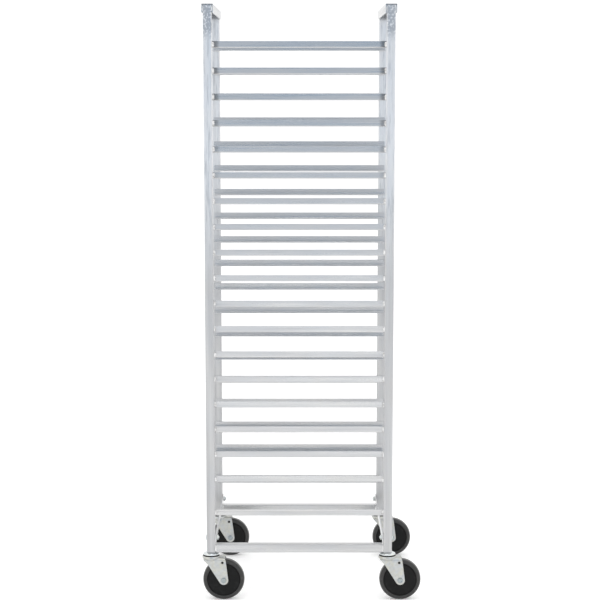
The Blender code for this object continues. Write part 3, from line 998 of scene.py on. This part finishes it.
def axle_bolt_mesh(hub, seat):
    """Bolt with a washer face and a recessed hexagon head on the -Y leg."""
    def head_part(profile):
        return turned_mesh([(radius, -seat - out) for radius, out in profile], 48, "Y", hub)

    tip = seat + 0.0047
    shank = turned_mesh([(0, -seat - 0.0002), (AXLE_RADIUS, -seat - 0.0002),
                         (AXLE_RADIUS, tip - 0.0006), (AXLE_RADIUS - 0.0006, tip), (0, tip)],
                        32, "Y", hub)
    washer = head_part([(0, 0), (0.0086, 0), (0.0086, 0.0007), (0.0082, 0.0011), (0, 0.0011)])
    outer, _ = hexagon_ring(AXLE_HEAD_RADIUS, AXLE_RADIUS)
    hexagon = prism_mesh(moved(outer, hub.x, hub.z), hub.y - seat - 0.0005,
                         hub.y - seat - 0.0046, "Y")
    crown = head_part([(0, 0), (0.0090, 0), (0.0090, 0.0030), (0.0068, 0.0044),
                       (0.0066, 0.0046), (0.0050, 0.0046), (0.0044, 0.0036), (0, 0.0034)])
    return boolean(boolean(shank, washer, "UNION"), boolean(hexagon, crown, "INTERSECT"), "UNION")


def build_axle(name, hub, looks, body):
    """Axle bolt, its nut, and the bushing between the legs."""
    seat = LEG_HALF_WIDTH + CONTACT / 2
    make_piece(f"{name}_axle_bolt", axle_bolt_mesh(hub, seat), looks.bolt_head,
               body)
    nut = nut_mesh(AXLE_NUT_RADIUS, AXLE_RADIUS, (hub.x, hub.z), hub.y + seat,
                   hub.y + seat + AXLE_NUT_HEIGHT, "Y")
    make_piece(f"{name}_axle_nut", nut, looks.steel, body, edge=NUT_EDGE)
    width = LEG_HALF_WIDTH - FORK_SHEET - BORE_PLAY
    outer, inner = (moved(circle_points(radius, 40), hub.x, hub.z)
                    for radius in (BUSHING_RADIUS, AXLE_RADIUS + BORE_PLAY))
    bushing = prism_mesh(outer, hub.y - width, hub.y + width, "Y", inner)
    make_piece(f"{name}_bushing", bushing, looks.steel, body, edge=0.0003)


def wheel_profile(radius):
    """Half section, (radius, half width) from the bore out to the middle of the tread."""
    disc = 0.0138
    rim = [(0.800, 0.0136), (0.812, 0.0146), (0.830, 0.01545), (0.850, 0.0159),
           (0.872, 0.0160), (0.895, 0.01575), (0.918, 0.0152), (0.940, 0.0143),
           (0.960, 0.0131), (0.977, 0.0115), (0.990, 0.0094), (0.998, 0.0070),
           (1.0, 0.0045), (1.0, 0.0006)]
    return [(0.0083, 0.0172), (0.0088, 0.0175), (0.0165, 0.0175), (0.0173, 0.0168),
            (0.0178, 0.0146), (0.0190, disc + 0.0002), (0.0440, disc), (0.0478, disc - 0.0002),
            (0.0486, disc - 0.0010), (0.0494, disc - 0.0010)] + [
                (share * radius, y) for share, y in rim]


def build_wheel(name, hub, looks, body):
    """One moulded wheel, with the greyer tread as its second material."""
    half = wheel_profile(hub.z)
    profile = half + [(radius, -y) for radius, y in reversed(half)]
    wheel = make_piece(f"{name}_tyre", turned_mesh(profile, TREAD_SEGMENTS, "Y", hub), looks.disc,
                       body, stands_for=(f"{name}_wheel",), sharp=40)
    wheel.data.materials.append(looks.tread)
    for face in wheel.data.polygons:
        reach = math.hypot(face.center.x - hub.x, face.center.z - hub.z)
        face.material_index = int(reach > hub.z * TREAD_START)


def build_casters(looks):
    for end in ENDS:
        for side in SIDES:
            name = f"caster_{end}_{side}"
            fork_body, wheel_body = f"{name}_fork_body", f"{name}_wheel_body"
            axis = joint_place(f"{name}_swivel")
            axis.z = 0.0
            hub = joint_place(f"{name}_roll")
            build_stem(name, axis, looks)
            mesh = fork_mesh(axis, hub.x - axis.x, hub.z)
            make_piece(f"{name}_yoke", mesh, looks.fork, fork_body,
                       stands_for=(f"{name}_fork",))
            build_balls(name, axis, looks.balls, fork_body)
            build_axle(name, hub, looks, fork_body)
            build_wheel(name, hub, looks, wheel_body)


# The finish of each kind of piece

# A grey laid on as painted shade beside the slide welds, and as the darker band at the channel
# web's ends
DARKENING_GREY = (0.50, 0.49, 0.48)


# Painted reflection in the mottling at the front uprights' tops, and painted shade darkening them
# below about a metre
def upright_metal():
    return brushed_aluminium("aluminium_uprights", "Z", (0.79, 0.79, 0.787), 0.36, wave=0.3,
                             darkening=(streak_and_painted_mottle_mask, (0.58, 0.60, 0.63)), spread=0.8,
                             painted_shading=shaded_below(*UPRIGHT_SHADE_HEIGHTS, 0.67))


# Painted shade beside the welds of the upper slides, plus the slides' painted light and shade
def slide_metal(middle_x):
    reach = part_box("upright_front_right")[0].x - middle_x
    return brushed_aluminium("aluminium_slides", "X", (0.62, 0.617, 0.611), 0.28, wave=0.15,
                             darkening=(lambda tree: weld_shade_mask(tree, middle_x, reach), DARKENING_GREY),
                             painted_shading=slide_painted_shading)


def rail_metal():
    return brushed_aluminium("aluminium_rails", "X", (0.55, 0.548, 0.543), 0.27)


def channel_metal():
    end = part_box("top_channel_left")[1]
    return brushed_aluminium("aluminium_channels", "Y", (0.62, 0.62, 0.617), 0.27,
                             darkening=(lambda tree: web_end_mask(tree, end.y, end.z), DARKENING_GREY))


def brace_metal():
    return brushed_aluminium("aluminium_braces", "Y", (0.62, 0.62, 0.617), 0.27)


def caster_looks(steel):
    return SimpleNamespace(
        steel=steel,
        # The cap's lip bottom and the fork boss's top get painted shade for the gap between them;
        # the balls' near-black is grease and painted shade there too
        cap=zinc_plate("raceway_zinc", (0.72, 0.75, 0.77), 0.16, 0.04,
                       (CAP_BOTTOM + 0.0011, CAP_BOTTOM + 0.0007)),
        bolt_head=zinc_plate("axle_zinc", (0.40, 0.43, 0.45), 0.30, 0.08),
        balls=zinc_plate("grease_and_shade_steel", (0.06, 0.057, 0.052), 0.35, 0.10),
        fork=zinc_plate("pressed_zinc", (0.56, 0.56, 0.555), 0.40, 0.07,
                        (BOSS_TOP - 0.0009, BOSS_TOP - 0.0003)),
        plug=moulded_black("plug_rubber", (0.02, 0.02, 0.02), 0.7),
        disc=moulded_black("wheel_polymer", (0.003, 0.003, 0.0031), 0.38, 0.2),
        tread=moulded_black("tread_polymer", (0.016, 0.0155, 0.015), 0.32, 0.55))


def build_object(middle_x):
    build_uprights(upright_metal())
    build_bottom_rails(rail_metal())
    build_top_channels(channel_metal())
    build_bottom_braces(brace_metal())
    build_slides(slide_metal(middle_x))
    build_welds(weld_metal())
    steel = zinc_plate("bright_zinc", (0.66, 0.69, 0.71), 0.24, 0.06)
    build_frame_bolts(steel)
    build_casters(caster_looks(steel))


rack_middle_x = (tube_centre("front", "left").x + tube_centre("front", "right").x) / 2
build_studio(rack_middle_x)
build_object(rack_middle_x)
